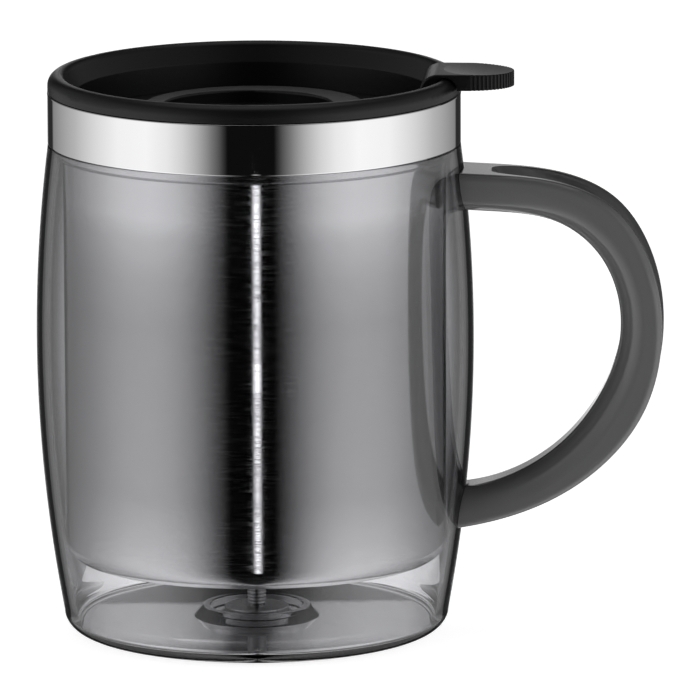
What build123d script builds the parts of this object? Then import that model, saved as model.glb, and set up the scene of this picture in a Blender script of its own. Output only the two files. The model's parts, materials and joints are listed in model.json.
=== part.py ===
from build123d import *
from math import cos, radians, sin
import os

# Handled desktop mug with a clear outer shell, a steel cup inside it and a push-in lid
# whose drinking hole is opened by a turning shutter with a thumb tab.
# Millimetres. The mug's axis is Z, the table is z = 0 and the handle points along +X.

os.makedirs("parts", exist_ok=True)

# ---- driving dimensions ----
shell_r_max = 45.0        # widest radius of the shell
shell_mid_z = 60.8        # height of the widest place
shell_bow = 309.0         # radius of the barrel's side in section
shell_top_z = 101.5
shell_wall = 2.0
foot_r = 35.7             # flat foot ends here
foot_corner = 4.2         # rounding from foot to side
floor_z = 2.4             # top of the shell's floor

boss_r_foot = 12.9        # ring that stands on the floor round the stud
boss_r_top = 11.1
boss_r_in = 9.5
boss_top_z = 4.6
pad_z = 2.75              # floor inside the ring
pocket_r = 8.0            # nut pocket under the floor
pocket_top_z = 1.9

cup_r = 39.2              # steel cup, outside
cup_sheet = 0.6
cup_bottom_z = 15.5
cup_corner = 4.0
spigot_r = 40.15          # the cup's step inside the shell's mouth
spigot_z = 99.65
seal_z = 99.4             # underside of the ring under that step
collar_r = 42.4           # polished collar above the shell
collar_top_z = 112.0

stud_r = 2.0
stud_pitch = 0.7
disc_r = 6.6
disc_top_z = 4.4

lid_r = 42.3              # lid's rim
lid_crest_r = 40.0
lid_crest_z = 115.7
lid_side_z = 113.4        # the rim's outer rounding starts here
funnel_r = 38.7           # the funnel starts here, inside the crest
funnel_z = 114.7
bowl_top_z = 111.7        # and ends at the bowl's wall
lid_bowl_r = 36.6         # bowl radius under the funnel
lid_floor_z = 105.0       # bowl floor
lid_skirt_r = 41.2

ring_r_out = 22.9         # raised ring on the shutter
ring_r_in = 17.3
ring_shift = -1.25        # the ring's recess stands off centre
ring_top_z = 109.1
plate_r = 35.0            # shutter plate
plate_z0 = 105.1
plate_z1 = 106.3
tab_half = 8.0            # half of the thumb tab's width
tab_tip_r = 53.3
tab_side_r = 43.8         # the tab's straight sides end here
tab_top_z = 116.7
tab_under_z = 113.0
rib_count = 31
shutter_turn = 32.0       # degrees from closed to open
drink_r = 27.6            # radius at which the drinking hole lies

handle_half = 8.0         # half of the handle's width
finger_round = 5.2        # rounding of its edges towards the fingers


def shell_r(z):
    """Outer radius of the shell at height z."""
    return shell_r_max - shell_bow + (shell_bow ** 2 - (z - shell_mid_z) ** 2) ** 0.5


def lathe(edges):
    """Solid of revolution about Z from a closed outline in the XZ plane."""
    return revolve(make_face(edges), Axis.Z)


def ring(r_in, r_out, z0, z1):
    """Plain round ring or, with r_in 0, a disc."""
    body = Pos(0, 0, z0) * extrude(Circle(r_out), z1 - z0)
    if r_in > 0:
        body -= Pos(0, 0, z0 - 1) * extrude(Circle(r_in), z1 - z0 + 2)
    return body


def xz(points):
    """Points in the XZ plane."""
    return [(x, 0, z) for x, z in points]


def arc(start, end, bulge):
    """Arc in the XZ plane; bulge is its height over the chord, to the right of start to end."""
    (x0, z0), (x1, z1) = start, end
    chord = ((x1 - x0) ** 2 + (z1 - z0) ** 2) ** 0.5
    mid_x = (x0 + x1) / 2 + bulge * (z1 - z0) / chord
    mid_z = (z0 + z1) / 2 - bulge * (x1 - x0) / chord
    return ThreePointArc((x0, 0, z0), (mid_x, 0, mid_z), (x1, 0, z1))


def save(name, shape):
    """One STEP file for a node; a node is one closed solid."""
    solid = shape.solids()[0] if len(shape.solids()) == 1 else shape
    solid.label = name
    export_step(solid, f"parts/{name}.step")
    print(name, len(shape.solids()), "solid(s)", round(shape.volume, 1), "mm3")


# ---- outer shell: barrel, floor and the ring on the floor ----
z_low = foot_corner
mid_z = (z_low + shell_top_z) / 2
r_low = shell_r(z_low)
r_top = shell_r(shell_top_z)
outer_side = ThreePointArc((r_low, 0, z_low), (shell_r(mid_z), 0, mid_z), (r_top, 0, shell_top_z))
foot_arc = arc((foot_r, 0), (r_low, z_low), 1.15)
in_low = 3.4
floor_edge_r = 36.7
inner_side = ThreePointArc(
    (shell_r(shell_top_z) - shell_wall, 0, shell_top_z),
    (shell_r(mid_z) - shell_wall, 0, mid_z),
    (shell_r(in_low) - shell_wall, 0, in_low),
)
inner_corner = arc((shell_r(in_low) - shell_wall, in_low), (floor_edge_r, floor_z), -0.28)
shell_outline = (
    Line((0, 0, 0), (foot_r, 0, 0))
    + foot_arc
    + outer_side
    + Line((r_top, 0, shell_top_z), (r_top - shell_wall, 0, shell_top_z))
    + inner_side
    + inner_corner
    + Polyline(*xz([(floor_edge_r, floor_z), (boss_r_foot, floor_z), (boss_r_top, boss_top_z)]))
    + Polyline(*xz([(boss_r_top, boss_top_z), (boss_r_in, boss_top_z), (boss_r_in, pad_z)]))
    + Polyline(*xz([(boss_r_in, pad_z), (0, pad_z), (0, 0)]))
)
shell = lathe(shell_outline)
shell = fillet(shell.edges().filter_by(GeomType.CIRCLE).filter_by_position(Axis.Z, 4.5, 4.7), 0.3)
shell = fillet(
    [e for e in shell.edges().filter_by(GeomType.CIRCLE)
     if abs(e.center().Z - shell_top_z) < 0.01 and e.radius > r_top - 0.1],
    0.4,
)
shell -= ring(0, pocket_r, -1, pocket_top_z)
shell -= ring(0, stud_r + 0.3, 0, 10)
save("outer_shell", shell)

# Solid that fills the shell's outside and the glue line, used to trim the handle's roots.
glue = 0.06
glue_low = 15.0
shell_fill = lathe(
    ThreePointArc((shell_r(glue_low) + glue, 0, glue_low), (shell_r(mid_z) + glue, 0, mid_z),
                  (r_top + glue, 0, shell_top_z))
    + Polyline(*xz([(r_top + glue, shell_top_z), (0, shell_top_z), (0, glue_low),
                    (shell_r(glue_low) + glue, glue_low)]))
)

# ---- handle: D-shaped grip with a channel along its outer face ----
outer_line = Spline(*xz([
    (38.0, 96.6), (49.7, 95.9), (63.2, 94.2), (73.8, 89.1), (80.6, 79.5),
    (83.8, 62.5), (80.0, 46.4), (73.0, 36.8), (61.8, 28.5), (50.5, 24.0), (38.0, 21.6),
]))
inner_line = Spline(*xz([
    (38.0, 88.6), (52.8, 87.5), (62.4, 85.5), (70.3, 79.5), (74.6, 70.3),
    (74.9, 60.5), (71.2, 50.2), (65.1, 41.6), (56.4, 34.7), (38.0, 29.9),
]))
grip_face = make_face(
    outer_line
    + Line(outer_line @ 1, inner_line @ 1)
    + inner_line
    + Line(inner_line @ 0, outer_line @ 0)
)
grip = extrude(grip_face, handle_half, both=True)


def along(body, curve, side):
    """The two long edges of an extruded outline that lie on a curve, at y = +side and -side."""
    found = []
    for e in body.edges():
        mid = e.position_at(0.5)
        if abs(abs(mid.Y) - side) > 0.01:
            continue
        flat = Vector(mid.X, 0, mid.Z)
        if curve.distance_to(Vertex(flat.X, flat.Y, flat.Z)) < 0.01 and e.length > 60:
            found.append(e)
    return found


grip = fillet(along(grip, inner_line, handle_half), finger_round)
grip = fillet(along(grip, outer_line, handle_half), 1.5)

channel_half = 5.6
channel_floor = Spline(*xz([
    (45.8, 98.9), (51.6, 94.0), (62.4, 89.5), (71.4, 83.2), (76.6, 72.9),
    (77.8, 61.0), (74.4, 49.0), (67.6, 39.3), (59.4, 31.9), (54.0, 26.3), (48.0, 20.2),
]))
channel_face = make_face(
    channel_floor
    + Polyline(channel_floor @ 1, (48.0, 0, 10.0), (95.0, 0, 10.0), (95.0, 0, 110.0),
               (45.8, 0, 110.0), channel_floor @ 0)
)
channel = extrude(channel_face, channel_half, both=True)
channel = fillet(along(channel, channel_floor, channel_half), 4.0)
grip -= channel
grip -= shell_fill
grip = grip.solids().sort_by(SortBy.VOLUME)[-1]
save("handle", grip)

# ---- steel cup with its collar ----
mouth_r = collar_r - cup_sheet
cup_in = cup_r - cup_sheet
cup_outline = (
    Line((0, 0, cup_bottom_z), (cup_r - cup_corner, 0, cup_bottom_z))
    + arc((cup_r - cup_corner, cup_bottom_z), (cup_r, cup_bottom_z + cup_corner), 0.293 * cup_corner)
    + Polyline(*xz([
        (cup_r, cup_bottom_z + cup_corner), (cup_r, spigot_z), (spigot_r, spigot_z),
        (spigot_r, shell_top_z), (collar_r, shell_top_z), (collar_r, collar_top_z),
        (mouth_r, collar_top_z), (mouth_r, shell_top_z + cup_sheet),
        (spigot_r - cup_sheet, shell_top_z + cup_sheet), (spigot_r - cup_sheet, spigot_z + cup_sheet),
        (cup_in, spigot_z + cup_sheet), (cup_in, cup_bottom_z + cup_corner),
    ]))
    + arc((cup_in, cup_bottom_z + cup_corner),
          (cup_r - cup_corner, cup_bottom_z + cup_sheet), -0.293 * (cup_corner - cup_sheet))
    + Polyline(*xz([(cup_r - cup_corner, cup_bottom_z + cup_sheet),
                    (0, cup_bottom_z + cup_sheet), (0, cup_bottom_z)]))
)
cup = lathe(cup_outline)
cup = fillet(
    [e for e in cup.edges().filter_by(GeomType.CIRCLE)
     if abs(e.center().Z - collar_top_z) < 0.01 or (abs(e.center().Z - shell_top_z) < 0.01 and e.radius > 42)],
    0.22,
)
save("inner_cup", cup)

# Sealing ring under the cup's step, against the shell's inner wall.
save("collar_seal", ring(cup_r + 0.02, shell_r(spigot_z) - shell_wall - 0.02, seal_z, spigot_z - 0.02))

# ---- stud, round nut, sealing washer, lock nut and base plug ----
stud_foot_z = 0.75
stud = ring(0, stud_r - 0.2, stud_foot_z, cup_bottom_z)
threads = int((cup_bottom_z - 1.0 - disc_top_z - 0.3) / stud_pitch)
for i in range(threads):
    z = disc_top_z + 0.3 + stud_pitch * i
    crest = lathe(Polyline(*xz([
        (stud_r - 0.6, z - 0.02), (stud_r - 0.25, z), (stud_r, z + 0.28), (stud_r, z + 0.40),
        (stud_r - 0.25, z + 0.68), (stud_r - 0.6, z + 0.68), (stud_r - 0.6, z - 0.02),
    ])))
    stud += crest
weld = lathe(Polyline(*xz([
    (0, cup_bottom_z - 0.6), (3.6, cup_bottom_z - 0.6), (4.2, cup_bottom_z), (0, cup_bottom_z), (0, cup_bottom_z - 0.6),
])))
stud += weld
save("cup_stud", stud)

washer_top_z = pad_z + 0.3
save("floor_washer", ring(stud_r + 0.3, disc_r - 0.5, pad_z, washer_top_z))

disc = ring(stud_r - 0.2, disc_r, washer_top_z, disc_top_z)
disc = chamfer([e for e in disc.edges().filter_by(GeomType.CIRCLE) if e.radius > disc_r - 0.1], 0.2)
save("round_nut", disc)

nut_z0 = 0.8
nut = Pos(0, 0, nut_z0) * extrude(RegularPolygon(4.04, 6), pocket_top_z - nut_z0)
nut -= ring(0, stud_r - 0.2, 0, 3)
save("lock_nut", nut)

save("base_plug", ring(0, pocket_r - 0.03, 0, 0.6))

# ---- lid body ----
lid_under_z = collar_top_z + 0.03
lid_outline = (
    # rim: up the outside, over the crest and down the funnel into the bowl
    Line((41.2, 0, lid_under_z), (41.9, 0, lid_under_z))
    + arc((41.9, lid_under_z), (lid_r, lid_under_z + 0.4), 0.12)
    + Line((lid_r, 0, lid_under_z + 0.4), (lid_r, 0, lid_side_z))
    + arc((lid_r, lid_side_z), (lid_crest_r, lid_crest_z), 0.68)
    + arc((lid_crest_r, lid_crest_z), (funnel_r, funnel_z), 0.21)
    + Line((funnel_r, 0, funnel_z), (lid_bowl_r, 0, bowl_top_z))
    + Line((lid_bowl_r, 0, bowl_top_z), (lid_bowl_r - 0.6, 0, lid_floor_z + 1.0))
    + arc((lid_bowl_r - 0.6, lid_floor_z + 1.0), (lid_bowl_r - 1.6, lid_floor_z), -0.293)
    + Polyline(*xz([
        (lid_bowl_r - 1.6, lid_floor_z), (0, lid_floor_z), (0, 103.0), (38.4, 103.0), (39.2, 103.6),
        (39.2, 104.8), (38.0, 104.8), (38.0, 108.4), (40.6, 108.4), (lid_skirt_r, 109.0), (41.2, lid_under_z),
    ]))
)
lid = lathe(lid_outline)


def sector(r0, r1, mid_deg, half_deg, z0, z1):
    """Part of a ring between two radii and two angles."""
    lo = mid_deg - half_deg
    hi = mid_deg + half_deg
    a = Vector(1, 0, 0).rotate(Axis.Z, lo)
    m = Vector(1, 0, 0).rotate(Axis.Z, mid_deg)
    b = Vector(1, 0, 0).rotate(Axis.Z, hi)
    outline = (
        Line(a * r0, a * r1)
        + ThreePointArc(a * r1, m * r1, b * r1)
        + Line(b * r1, b * r0)
        + ThreePointArc(b * r0, m * r0, a * r0)
    )
    body = Pos(0, 0, z0) * extrude(make_face(outline), z1 - z0)
    return fillet(body.edges().filter_by(Axis.Z), 1.6)


hub_r = 4.0
drink_deg = -90.0
vent_deg = 90.0
lid -= sector(drink_r - 4.5, drink_r + 4.5, drink_deg, 12.0, 100, 106)
lid -= Pos(0, 29.0, 100) * extrude(Circle(1.5), 8)
lid -= ring(0, hub_r + 0.05, 100, 108)
lid -= ring(0, 6.6, 104.0, 108)
save("lid_body", lid)

# Silicone gasket in the lid's groove, with two lips towards the steel collar.
gasket_in = 38.02
lip_r = mouth_r - 0.12
gasket = lathe(
    Polyline(*xz([
        (gasket_in, 104.85), (39.6, 104.85), (39.8, 105.0), (lip_r, 105.7), (lip_r, 105.95),
        (39.9, 106.0), (39.9, 106.5), (lip_r, 107.2), (lip_r, 107.45), (39.9, 107.6),
        (39.6, 108.35), (gasket_in, 108.35), (gasket_in, 104.85),
    ]))
)
save("lid_gasket", gasket)

# ---- shutter: plate, raised ring, arm and thumb tab in one moulding ----
shutter = ring(0, plate_r, plate_z0, plate_z1)
raised = ring(0, ring_r_out, plate_z0, ring_top_z)
raised -= Pos(ring_shift, 0, plate_z1) * extrude(Circle(ring_r_in), 10)
raised = fillet(
    [e for e in raised.edges().filter_by(GeomType.CIRCLE) if abs(e.center().Z - ring_top_z) < 0.01],
    0.5,
)
shutter += raised

# Space that the lid's wall takes, with a gap round it, for cutting the arm and the tab.
gap = 0.35
bowl_gap_r = lid_bowl_r - gap - 0.1
lid_space = lathe(
    Polyline(*xz([(60.0, 100.0), (60.0, lid_side_z), (lid_r + gap, lid_side_z)]))
    + arc((lid_r + gap, lid_side_z), (lid_crest_r, lid_crest_z + gap), 0.78)
    + arc((lid_crest_r, lid_crest_z + gap), (funnel_r - gap, funnel_z + 0.2), 0.28)
    + Polyline(*xz([(funnel_r - gap, funnel_z + 0.2), (bowl_gap_r, bowl_top_z + 0.1), (bowl_gap_r - 0.6, 107.2),
                    (plate_r - 0.2, 106.2), (plate_r - 0.2, 100.0), (60.0, 100.0)]))
)
bend_r = 3.7              # the arm's bend up to the tab, tangent to its leaning back
lean = radians(7.5)
bend_x = 38.0 - bend_r * cos(lean)
bend_z = tab_top_z - bend_r + bend_r * sin(lean)
half_way = (lean + radians(90)) / 2
arm_side = make_face(
    Polyline(*xz([(38.0, tab_top_z), (42.0, tab_top_z), (42.0, 105.6), (20.0, 105.6), (20.0, 106.9),
                  (32.0, 106.9), (33.6, 108.0), (bend_x, bend_z)]))
    + ThreePointArc((bend_x, 0, bend_z),
                    (38.0 - bend_r * cos(half_way), 0, tab_top_z - bend_r + bend_r * sin(half_way)),
                    (38.0, 0, tab_top_z))
)
arm = extrude(arm_side, tab_half, both=True)
edge_round = 0.45
arm = fillet(
    [e for e in arm.edges()
     if abs(abs(e.center().Y) - tab_half) < 0.01 and 33.7 < e.center().X < 41.9 and e.center().Z > 109],
    edge_round,
)
arm -= lid_space

# Paddle seen from above: straight sides, then half an ellipse with ribs round it.
tab_long = tab_tip_r - tab_side_r
tab_plan = Sketch() + Pos(tab_side_r, 0) * Ellipse(tab_long, tab_half)
tab_plan += Pos((38 + tab_side_r) / 2, 0) * Rectangle(tab_side_r - 38, 2 * tab_half)
tab_plan &= Pos(60, 0) * Rectangle(44, 2 * tab_half + 2)
tab = Pos(0, 0, tab_under_z) * extrude(tab_plan, tab_top_z - tab_under_z)
tab = fillet(tab.edges().group_by(Axis.Z)[-1] + tab.edges().group_by(Axis.Z)[0], edge_round)
tab -= lid_space
paddle = tab + arm
for i in range(rib_count):
    turn = radians(-82 + 164 * i / (rib_count - 1))
    groove = Pos(tab_side_r + tab_long * cos(turn), tab_half * sin(turn), tab_under_z - 1)
    paddle -= groove * extrude(Circle(0.3), 6)
dish = Pos(47.0, 0, tab_top_z + 59.45) * Sphere(60.0)
paddle -= dish
shutter += paddle

window_deg = drink_deg - shutter_turn
shutter -= sector(drink_r - 4.4, drink_r + 4.4, window_deg, 12.5, 100, 108)
vent = Pos(0, 29.0, 100) * extrude(Circle(1.7), 8)
shutter -= Rot(0, 0, -shutter_turn) * vent

hub_foot_z = 102.6
shutter += ring(0, hub_r, hub_foot_z, plate_z0 + 0.5)
shutter -= ring(0, 1.25, hub_foot_z - 1, 105.6)
save("shutter", shutter)

# O-ring round the hub, in the lid floor's counterbore.
o_ring = Pos(0, 0, 104.52) * Torus(5.5, 0.5)
save("hub_seal", o_ring)

# Washer and screw that hold the shutter from below.
retainer_z = hub_foot_z
save("hub_washer", ring(1.3, 6.0, retainer_z - 0.8, retainer_z))
screw = ring(0, 1.25, retainer_z - 0.8, 105.4)
head = ring(0, 2.4, retainer_z - 2.4, retainer_z - 0.8)
head = fillet([e for e in head.edges().filter_by(GeomType.CIRCLE) if e.center().Z < retainer_z - 2.3], 0.6)
cross = Box(3.2, 0.7, 1.6) + Box(0.7, 3.2, 1.6)
screw += head - Pos(0, 0, retainer_z - 2.4) * cross
save("hub_screw", screw)
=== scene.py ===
import bmesh
import bpy
import json
from math import cos, hypot, pi, radians, sin, tan
from mathutils import Matrix, Quaternion, Vector


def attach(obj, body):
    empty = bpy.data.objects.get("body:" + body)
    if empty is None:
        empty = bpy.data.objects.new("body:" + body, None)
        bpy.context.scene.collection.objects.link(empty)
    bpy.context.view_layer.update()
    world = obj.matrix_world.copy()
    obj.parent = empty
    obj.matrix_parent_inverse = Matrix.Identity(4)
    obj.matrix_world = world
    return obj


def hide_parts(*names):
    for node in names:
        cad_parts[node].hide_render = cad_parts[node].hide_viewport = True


# Handled desktop mug: clear smoke shell, steel cup, black push-in lid with a turning shutter.
# The outlines below are in millimetres, and everything else is in metres.

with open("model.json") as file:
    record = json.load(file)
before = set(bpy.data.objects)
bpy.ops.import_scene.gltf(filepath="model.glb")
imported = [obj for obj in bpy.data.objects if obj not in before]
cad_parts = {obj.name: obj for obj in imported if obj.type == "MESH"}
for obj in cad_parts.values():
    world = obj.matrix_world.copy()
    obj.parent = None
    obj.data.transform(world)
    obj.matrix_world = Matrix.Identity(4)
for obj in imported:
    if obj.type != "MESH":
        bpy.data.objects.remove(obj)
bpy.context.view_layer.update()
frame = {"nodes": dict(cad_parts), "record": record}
nodes = frame["nodes"]
MM = 0.001

# ---- sizes of the two turned pieces ----
shell_r_max = 45.0        # widest radius of the shell
shell_mid_z = 60.8        # height of the widest place
shell_bow = 309.0         # radius of the barrel's side in section
shell_top_z = 101.5
shell_wall = 2.0
foot_r = 35.7
foot_corner = 4.2         # height of the rounding from foot to side
foot_reach = 4.08         # and its width
floor_z = 2.4             # top of the shell's floor
floor_edge_r = 36.7
floor_corner = 1.0        # height of the rounding from floor to wall
floor_reach = 0.95        # and its width
boss_r_foot = 12.9        # ring on the floor round the stud
boss_r_top = 11.1
boss_r_in = 9.5
boss_top_z = 4.6
pad_z = 2.75
stud_hole_r = 2.3
pocket_r = 8.0            # nut pocket under the floor
pocket_top_z = 1.9

cup_r = 39.2
cup_sheet = 0.6
cup_bottom_z = 15.5
spigot_r = 40.15          # the cup's step inside the shell's mouth
spigot_z = 99.65
collar_r = 42.4
collar_top_z = 112.0

# ------------------------------------------------------------------ node trees


class Tree:
    """Short calls that build a node tree."""

    def __init__(self, node_tree):
        self.nodes = node_tree.nodes
        self.links = node_tree.links
        self.nodes.clear()

    def put(self, value, socket):
        """Sets a socket to a plain value, or links an output to it."""
        if isinstance(value, bpy.types.NodeSocket):
            self.links.new(value, socket)
        else:
            socket.default_value = value

    def add(self, kind, **inputs):
        """A shader node with its inputs filled; underscores in a name stand for spaces."""
        node = self.nodes.new("ShaderNode" + kind)
        for name, value in inputs.items():
            self.put(value, node.inputs[name.replace("_", " ")])
        return node

    def maths(self, operation, *sources):
        """Result of a Math node on numbers and sockets."""
        node = self.nodes.new("ShaderNodeMath")
        node.operation = operation
        for value, socket in zip(sources, node.inputs):
            self.put(value, socket)
        return node.outputs["Value"]

    def ramp(self, source, stops):
        """Colour ramp with grey or RGB stops."""
        node = self.add("ValToRGB", Fac=source)
        elements = node.color_ramp.elements
        while len(elements) > 1:
            elements.remove(elements[-1])
        for i, (place, colour) in enumerate(stops):
            element = elements[0] if i == 0 else elements.new(place)
            element.position = place
            rgb = colour if isinstance(colour, tuple) else (colour,) * 3
            element.color = (*rgb, 1.0)
        return node.outputs["Color"]

    def noise(self, vector, scale, detail=4.0, rough=0.55):
        """Noise texture on a vector."""
        node = self.add("TexNoise", Vector=vector, Scale=scale, Detail=detail, Roughness=rough)
        return node.outputs["Fac"]

    def bump(self, height, strength, distance, **more):
        """Normal from a height; the strength is a number or a socket."""
        node = self.add("Bump", Height=height, Strength=strength, Distance=distance, **more)
        return node.outputs["Normal"]

    def split(self, vector):
        """X, Y and Z of a vector."""
        return self.add("SeparateXYZ", Vector=vector).outputs

    def place(self, stretch=(1.0, 1.0, 1.0)):
        """Object coordinates, stretched along the axes."""
        coords = self.add("TexCoord")
        return self.add("Mapping", Vector=coords.outputs["Object"], Scale=stretch).outputs["Vector"]

    def around_axis(self, turns):
        """Object coordinates wound round Z, for marks that run round a part, and the height."""
        flat = self.split(self.add("TexCoord").outputs["Object"])
        angle = self.maths("ARCTAN2", flat["Y"], flat["X"])
        length = self.add("VectorMath")
        length.operation = "LENGTH"
        self.put(self.add("CombineXYZ", X=flat["X"], Y=flat["Y"]).outputs["Vector"], length.inputs[0])
        wound = self.add(
            "CombineXYZ", X=self.maths("MULTIPLY", angle, turns), Y=length.outputs["Value"], Z=flat["Z"]
        )
        return wound.outputs["Vector"], flat["Z"]


def material(name, **inputs):
    """A new material: its tree, its Principled shader and itself."""
    mat = bpy.data.materials.new(name)
    mat.use_nodes = True
    tree = Tree(mat.node_tree)
    shader = tree.add("BsdfPrincipled", **inputs)
    tree.add("OutputMaterial", Surface=shader.outputs["BSDF"])
    return tree, shader, mat


# ------------------------------------------------------------------ materials


def smoke_plastic(name, density, rough, clear=1.0, grey=0.93):
    """Smoke-grey moulding: faint flow marks, grey by depth; clear 1 is glass-clear, less is cloudy."""
    tree, shader, mat = material(
        name, Base_Color=(grey, grey, grey * 1.01, 1.0), Roughness=rough, IOR=1.52, Transmission_Weight=clear
    )
    flow = tree.noise(tree.place((1.0, 1.0, 0.35)), 55.0, 2.0)
    tree.put(tree.bump(flow, 0.03, 0.0006), shader.inputs["Normal"])
    absorb = tree.add("VolumeAbsorption", Color=(0.20, 0.20, 0.22, 1.0), Density=density)
    tree.put(absorb.outputs["Volume"], tree.nodes["Material Output"].inputs["Volume"])
    return mat


def polished_steel():
    """Drawn sheet with a polished collar; fine turning marks below it break the highlight."""
    tree, shader, mat = material("polished_steel", Metallic=1.0)
    wound, height = tree.around_axis(0.0022)
    marks = tree.noise(wound, 4600.0, 2.0, 0.6)
    share = tree.maths("MULTIPLY", height, 1.0 / (collar_top_z * MM))
    depth = tree.ramp(share, [(0.905, 0.06), (0.908, 0.0)])
    tree.put(tree.bump(marks, depth, 0.00004), shader.inputs["Normal"])

    patch = tree.noise(tree.place(), 30.0, 3.0)
    tint = tree.ramp(patch, [(0.3, (0.97, 0.97, 0.98)), (0.7, (1.0, 0.995, 1.0))])
    # Painted light: the base colour is lighter near the bottom and top of the cup, darker between, and lower
    # on the collar, in place of how the light falls along it.
    painted_light_by_height = tree.ramp(share, [
        (0.14, 1.0), (0.18, 0.86), (0.215, 0.74), (0.30, 0.55), (0.62, 0.50), (0.70, 0.59), (0.742, 0.69),
        (0.777, 0.78), (0.816, 1.0), (0.905, 1.0), (0.908, 0.70),
    ])
    mixed = tree.add("VectorMath")
    mixed.operation = "MULTIPLY"
    tree.put(tint, mixed.inputs[0])
    tree.put(painted_light_by_height, mixed.inputs[1])
    tree.put(mixed.outputs["Vector"], shader.inputs["Base Color"])

    gloss = tree.ramp(marks, [(0.40, 0.05), (0.50, 0.06), (0.62, 0.14)])
    polish = tree.ramp(share, [(0.905, 1.0), (0.908, 0.06)])
    tree.put(tree.maths("MULTIPLY", gloss, polish), shader.inputs["Roughness"])
    return mat


def turned_steel(name, grey):
    """Plain machined steel for the stud, nuts, washer and screw."""
    tree, shader, mat = material(name, Metallic=1.0)
    wound, _ = tree.around_axis(0.002)
    marks = tree.noise(wound, 6000.0, 3.0, 0.7)
    spots = tree.noise(tree.place(), 600.0, 4.0)
    tree.put(tree.bump(marks, 0.25, 0.00004), shader.inputs["Normal"])
    tree.put(tree.ramp(spots, [(0.3, 0.8 * grey), (0.7, grey)]), shader.inputs["Base Color"])
    tree.put(tree.ramp(marks, [(0.3, 0.22), (0.7, 0.4)]), shader.inputs["Roughness"])
    return mat


def black_plastic():
    """Black satin moulding with a fine spark-eroded grain and softened edges."""
    tree, shader, mat = material("black_plastic", IOR=1.5, Specular_IOR_Level=0.33)
    grain = tree.noise(tree.place(), 3200.0, 3.0, 0.6)
    cloud = tree.noise(tree.place(), 45.0, 3.0)
    soft = tree.add("Bevel", Radius=0.00025)
    soft.samples = 6
    tree.put(tree.bump(grain, 0.25, 0.00003, Normal=soft.outputs["Normal"]), shader.inputs["Normal"])
    tone = tree.ramp(cloud, [(0.3, (0.003, 0.003, 0.0032)), (0.7, (0.0045, 0.0045, 0.0047))])
    tree.put(tone, shader.inputs["Base Color"])
    tree.put(tree.ramp(grain, [(0.3, 0.31), (0.7, 0.40)]), shader.inputs["Roughness"])
    return mat


def dark_silicone():
    """Matt silicone rubber with dust-fine grain."""
    tree, shader, mat = material("dark_silicone", IOR=1.42)
    grain = tree.noise(tree.place(), 2200.0, 3.0)
    tree.put(tree.bump(grain, 0.2, 0.00004), shader.inputs["Normal"])
    tree.put(tree.ramp(grain, [(0.3, 0.018), (0.7, 0.03)]), shader.inputs["Base Color"])
    tree.put(tree.ramp(grain, [(0.3, 0.5), (0.7, 0.7)]), shader.inputs["Roughness"])
    return mat


looks = {
    "smoke_plastic": smoke_plastic("smoke_plastic", 215.0, 0.02),
    "smoke_grip": smoke_plastic("smoke_grip", 110.0, 0.11, 0.35, 0.2),
    "polished_steel": polished_steel(),
    "stud_steel": turned_steel("stud_steel", 0.5),
    "black_plastic": black_plastic(),
    "dark_silicone": dark_silicone(),
    "clear_silicone": smoke_plastic("clear_silicone", 20.0, 0.12),
}
for part in frame["record"]["subparts"]:
    piece = nodes[part["node"]]
    piece.data.materials.clear()
    piece.data.materials.append(looks[part["material_slot"]])

# ------------------------------------------------------------------ turned pieces with fine meshes


def round_corner(before, corner, after, radius, steps=6):
    """Points of an arc that rounds a corner of an outline."""
    a = (Vector(before) - Vector(corner)).normalized()
    b = (Vector(after) - Vector(corner)).normalized()
    half = a.angle(b) / 2
    reach = radius / tan(half)
    centre = Vector(corner) + (a + b).normalized() * (radius / sin(half))
    first = Vector(corner) + a * reach - centre
    last = Vector(corner) + b * reach - centre
    sweep = first.angle_signed(last)
    points = []
    for i in range(steps + 1):
        spoke = first.copy()
        spoke.rotate(Matrix.Rotation(-sweep * i / steps, 2))
        points.append(tuple(centre + spoke))
    return points


def outline(corners):
    """Points (r, z) from corners (r, z, rounding); rounding 0 keeps the corner."""
    points = []
    count = len(corners)
    for i, (r, z, rounding) in enumerate(corners):
        if rounding == 0:
            points.append((r, z))
            continue
        before = corners[(i - 1) % count][:2]
        after = corners[(i + 1) % count][:2]
        points.extend(round_corner(before, (r, z), after, rounding))
    return points


def supported(points, closed):
    """The points with one more near each end of a long run, so that smooth shading stays true."""
    ends = points[1:] + points[:1] if closed else points[1:]
    found = []
    for (r0, z0), (r1, z1) in zip(points, ends):
        found.append((r0, z0))
        length = hypot(r1 - r0, z1 - z0)
        if length > 2.5:
            for share in (0.05 / length, 1 - 0.05 / length):
                found.append((r0 + (r1 - r0) * share, z0 + (z1 - z0) * share))
    return found if closed else found + points[-1:]


def ring_of_points(bm, r, z, around):
    """Mesh points round Z at radius r and height z, or a single one on the axis."""
    if r < 1e-6:
        return [bm.verts.new((0, 0, z * MM))]
    turns = [2 * pi * k / around for k in range(around)]
    return [bm.verts.new((r * MM * cos(turn), r * MM * sin(turn), z * MM)) for turn in turns]


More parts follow.
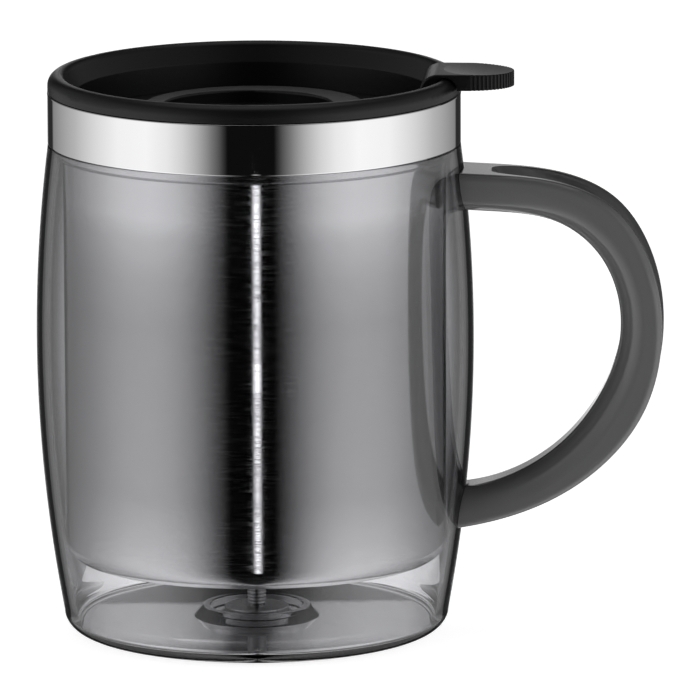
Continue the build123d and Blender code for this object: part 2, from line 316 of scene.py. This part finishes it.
def turned(name, points, closed, body, slot, sharp_deg=28.0, around=288):
    """A turned piece from points (r, z); it rides on a body and takes a slot's look."""
    bm = bmesh.new()
    rings = [ring_of_points(bm, r, z, around) for r, z in supported(points, closed)]
    pairs = list(zip(rings, rings[1:]))
    if closed:
        pairs.append((rings[-1], rings[0]))
    for low, high in pairs:
        for k in range(around):
            m = (k + 1) % around
            corners = [low[k % len(low)], low[m % len(low)], high[m % len(high)], high[k % len(high)]]
            bm.faces.new(list(dict.fromkeys(corners)))
    bmesh.ops.recalc_face_normals(bm, faces=bm.faces)
    for face in bm.faces:
        face.smooth = True
    for edge in bm.edges:
        edge.smooth = edge.calc_face_angle(0.0) < radians(sharp_deg)
    mesh = bpy.data.meshes.new(name)
    bm.to_mesh(mesh)
    bm.free()
    obj = bpy.data.objects.new(name, mesh)
    bpy.context.scene.collection.objects.link(obj)
    mesh.materials.append(looks[slot])
    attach(obj, body)
    return obj


def barrel_r(z):
    """Outer radius of the shell at height z."""
    return shell_r_max - shell_bow + (shell_bow ** 2 - (z - shell_mid_z) ** 2) ** 0.5


def heights(start, end, steps=60):
    """Even steps in height from start to end."""
    return [start + (end - start) * i / steps for i in range(steps + 1)]


def shell_corners():
    """The shell's section, from the pocket round the foot, up the outside and down the inside."""
    side_top_z = shell_top_z - 1.0
    wall_low_z = floor_z + floor_corner
    foot = [
        (foot_r + foot_reach * sin(turn), foot_corner - foot_corner * cos(turn), 0)
        for turn in (radians(9 * i) for i in range(1, 10))
    ]
    outside = [(barrel_r(z), z, 0) for z in heights(foot_corner, side_top_z)]
    inside = [(barrel_r(z) - shell_wall, z, 0) for z in heights(side_top_z, wall_low_z)]
    floor_edge = [
        (floor_edge_r + floor_reach * cos(turn), wall_low_z - floor_corner * sin(turn), 0)
        for turn in (radians(10 * i) for i in range(1, 10))
    ]
    mouth_r = barrel_r(shell_top_z)
    mouth = [(mouth_r, shell_top_z, 0.4), (mouth_r - shell_wall, shell_top_z, 0.12)]
    middle = [
        (boss_r_foot, floor_z, 0.2), (boss_r_top, boss_top_z, 0.3), (boss_r_in, boss_top_z, 0.3),
        (boss_r_in, pad_z, 0.2), (stud_hole_r, pad_z, 0), (stud_hole_r, pocket_top_z, 0),
        (pocket_r, pocket_top_z, 0),
    ]
    return [(pocket_r, 0.0, 0), (foot_r, 0.0, 0)] + foot + outside + mouth + inside + floor_edge + middle


def cup_corners():
    """The cup's section: up the outside from the axis, over the collar and down the inside."""
    outside = [
        (0.0, cup_bottom_z, 0), (cup_r, cup_bottom_z, 4.0), (cup_r, spigot_z, 0.2),
        (spigot_r, spigot_z, 0.25), (spigot_r, shell_top_z, 0), (collar_r, shell_top_z, 0.3),
        (collar_r, collar_top_z, 0.28),
    ]
    inside = [
        (collar_r - cup_sheet, collar_top_z, 0.28),
        (collar_r - cup_sheet, shell_top_z + cup_sheet, 0.5),
        (spigot_r - cup_sheet, shell_top_z + cup_sheet, 0.3),
        (spigot_r - cup_sheet, spigot_z + cup_sheet, 0.3),
        (cup_r - cup_sheet, spigot_z + cup_sheet, 0.3),
        (cup_r - cup_sheet, cup_bottom_z + cup_sheet, 3.4),
        (0.0, cup_bottom_z + cup_sheet, 0),
    ]
    return outside + inside


shell_shown = turned("shell_shown", outline(shell_corners()), True, "mug", "smoke_plastic")
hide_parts("outer_shell")
cup_shown = turned("cup_shown", outline(cup_corners()), False, "mug", "polished_steel")
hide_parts("inner_cup")

# ------------------------------------------------------------------ floor


def studio_floor():
    """Plain pale floor."""
    tree, shader, mat = material(
        "studio_floor", Roughness=0.9, Emission_Color=(1.0, 1.0, 1.0, 1.0), Emission_Strength=0.85
    )
    cloud = tree.noise(tree.place(), 6.0, 3.0)
    tree.put(tree.ramp(cloud, [(0.3, 0.93), (0.7, 0.95)]), shader.inputs["Base Color"])
    bpy.ops.mesh.primitive_plane_add(size=12.0, location=(0, 0, -0.0002))
    floor = bpy.context.object
    floor.name = "studio_floor"
    floor.data.materials.append(mat)
    floor.visible_glossy = False
    floor.visible_transmission = False


def show_through_plastic_only(sheet):
    """Hides a sheet from everything but light that passes through clear plastic."""
    sheet.visible_camera = False
    sheet.visible_glossy = False
    sheet.visible_diffuse = False
    sheet.visible_shadow = False


def foot_shade():
    """Painted shade under the foot, on a sheet that glows as painted light: dark in the middle and in a
    ragged crescent at the back.
    """
    tree, shader, mat = material(
        "foot_shade", Roughness=0.9, Base_Color=(0.1, 0.1, 0.1, 1.0), Emission_Strength=1.3
    )
    place = tree.place()
    x, y, _ = tree.split(place)
    rag = tree.maths("MULTIPLY", tree.noise(place, 160.0, 3.0), 0.06)
    skew = tree.maths("MULTIPLY_ADD", x, -1.17, -0.035)
    back = tree.maths("ADD", tree.maths("ADD", tree.maths("MULTIPLY", y, 13.0), skew), rag)
    crescent = tree.ramp(tree.maths("ADD", back, 0.5), [(0.25, 1.0), (0.65, 0.9), (0.69, 0.06), (0.9, 0.04)])
    side = tree.maths("MULTIPLY", tree.maths("ABSOLUTE", x), 1.0 / 0.020)
    middle = tree.ramp(side, [
        (0.13, 0.14), (0.19, 0.21), (0.25, 0.42), (0.31, 0.56), (0.56, 0.83), (0.7, 1.0),
    ])
    tree.put(tree.maths("MULTIPLY", crescent, middle), shader.inputs["Emission Color"])
    bpy.ops.mesh.primitive_circle_add(
        vertices=96, radius=foot_r * MM, fill_type="NGON", location=(0, 0, -0.0001)
    )
    shade = bpy.context.object
    shade.name = "foot_shade"
    shade.data.materials.append(mat)
    show_through_plastic_only(shade)


def table_glow():
    """The lit table just behind the mug, which shows in the clear wall under the cup."""
    width = 0.092
    near = 0.036
    far = 0.095
    tree, shader, mat = material("table_glow", Roughness=0.9, Emission_Strength=1.7)
    x = tree.split(tree.place())["X"]
    side = tree.maths("MULTIPLY", tree.maths("ABSOLUTE", x), 1.0 / 0.050)
    tone = tree.ramp(side, [(0.06, 0.02), (0.18, 0.08), (0.27, 0.3), (0.36, 0.85), (0.6, 1.0), (0.92, 0.75)])
    tree.put(tone, shader.inputs["Emission Color"])
    bpy.ops.mesh.primitive_plane_add(size=1.0, location=(0, 0, -0.00015))
    glow = bpy.context.object
    glow.name = "table_glow"
    for vertex in glow.data.vertices:
        vertex.co.x *= width
        vertex.co.y = (near + far) / 2 + vertex.co.y * (far - near)
    glow.data.materials.append(mat)
    show_through_plastic_only(glow)


studio_floor()
foot_shade()
table_glow()

# ------------------------------------------------------------------ light

view_yaw = radians(3.5)   # the camera stands this far to the right of the mug's front


def studio_light():
    """The room: dark in front but for a slit, light at the sides, dark, then white far behind."""
    world = bpy.data.worlds.new("studio")
    bpy.context.scene.world = world
    world.use_nodes = True
    tree = Tree(world.node_tree)
    spin = tree.add("Mapping", Vector=tree.add("TexCoord").outputs["Generated"], Rotation=(0, 0, -view_yaw))
    spin.vector_type = "POINT"
    x, y, z = tree.split(spin.outputs["Vector"])

    # Turns from the front, then the share of the way to the back, a little off centre at both.
    to_front = tree.maths("MULTIPLY", y, -1.0)
    azimuth = tree.maths("DIVIDE", tree.maths("ARCTAN2", x, to_front), 2.0 * pi)
    front = tree.maths("MULTIPLY", tree.maths("MAXIMUM", to_front, 0.0), 0.0042)
    rear = tree.maths("MULTIPLY", tree.maths("MINIMUM", to_front, 0.0), 0.00155)
    shifted = tree.maths("ADD", azimuth, tree.maths("ADD", front, rear))
    turned_away = tree.maths("MULTIPLY", tree.maths("ABSOLUTE", shifted), 2.0)
    share = tree.maths("PINGPONG", turned_away, 1.0)
    # The last stops are the white wall and the narrow dark strip straight behind.
    side_light = tree.ramp(share, [
        (0.072, 0.004), (0.085, 0.035), (0.12, 0.17), (0.167, 0.41), (0.214, 0.63), (0.2645, 0.80),
        (0.34, 0.92), (0.45, 0.88), (0.56, 0.66), (0.66, 0.44), (0.76, 0.30), (0.835, 0.20), (0.85, 0.02),
        (0.925, 0.02), (0.945, 0.22), (0.962, 0.5), (0.974, 1.0), (0.9865, 1.0), (0.99, 0.65),
        (0.9925, 0.3), (0.9953, 0.06),
    ])
    roof = tree.ramp(z, [(0.0, 1.0), (0.12, 0.55), (0.5, 0.5), (0.8, 0.15)])

    # A narrow lamp in front, which makes the bright streak down the cup and misses the collar.
    lamp_z = -0.1961
    lamp_half = 0.0205
    lamp_power = 4.0
    slit = tree.ramp(
        tree.maths("ADD", azimuth, 0.5), [(0.4985, 0.0), (0.501, 1.0), (0.507, 1.0), (0.5095, 0.0)]
    )
    off_lamp = tree.maths("ABSOLUTE", tree.maths("ADD", z, -lamp_z))
    lamp = tree.maths("MULTIPLY", slit, tree.maths("LESS_THAN", off_lamp, lamp_half))

    walls = tree.maths("MULTIPLY", side_light, roof)
    room = tree.maths("ADD", walls, tree.maths("MULTIPLY", lamp, lamp_power))
    seen_by_object = tree.add("Background", Color=room, Strength=1.45)
    seen_by_camera = tree.add("Background", Color=(1.0, 1.0, 1.0, 1.0), Strength=1.0)
    mix = tree.add("MixShader", Fac=tree.add("LightPath").outputs["Is Camera Ray"])
    tree.put(seen_by_object.outputs["Background"], mix.inputs[1])
    tree.put(seen_by_camera.outputs["Background"], mix.inputs[2])
    tree.add("OutputWorld", Surface=mix.outputs["Shader"])


def top_box():
    """A large soft light overhead, which the camera doesn't see."""
    stand = Vector((0.0, 0.25, 1.4))
    aim = Vector((0.0, 0.0, 0.05))
    data = bpy.data.lights.new("top_box", "AREA")
    data.shape = "RECTANGLE"
    data.size = 1.2
    data.size_y = 1.0
    data.energy = 2.5
    lamp = bpy.data.objects.new("top_box", data)
    lamp.location = stand
    lamp.rotation_euler = (aim - stand).to_track_quat("-Z", "Y").to_euler()
    lamp.visible_camera = False
    bpy.context.scene.collection.objects.link(lamp)


studio_light()
top_box()

# ------------------------------------------------------------------ camera


def main_camera():
    """The main view: 2 m away, a little from above and very slightly rolled."""
    centre_x = 0.01945
    aim_z = 0.0577
    distance = 2.0
    rise = 0.3924
    roll = radians(-0.2)
    aim = Vector((centre_x * cos(view_yaw), centre_x * sin(view_yaw), aim_z))
    stand = aim + Vector((distance * sin(view_yaw), -distance * cos(view_yaw), rise))
    camera = bpy.data.objects.new("camera", bpy.data.cameras.new("camera"))
    camera.data.sensor_width = 36.0
    camera.data.lens = 509.6057
    camera.data.clip_start = 0.1
    camera.data.clip_end = 50.0
    camera.location = stand
    level = (aim - stand).to_track_quat("-Z", "Y")
    camera.rotation_euler = (level @ Quaternion((0, 0, 1), roll)).to_euler()
    bpy.context.scene.collection.objects.link(camera)
    bpy.context.scene.camera = camera


main_camera()
bpy.context.scene.view_settings.view_transform = "Standard"
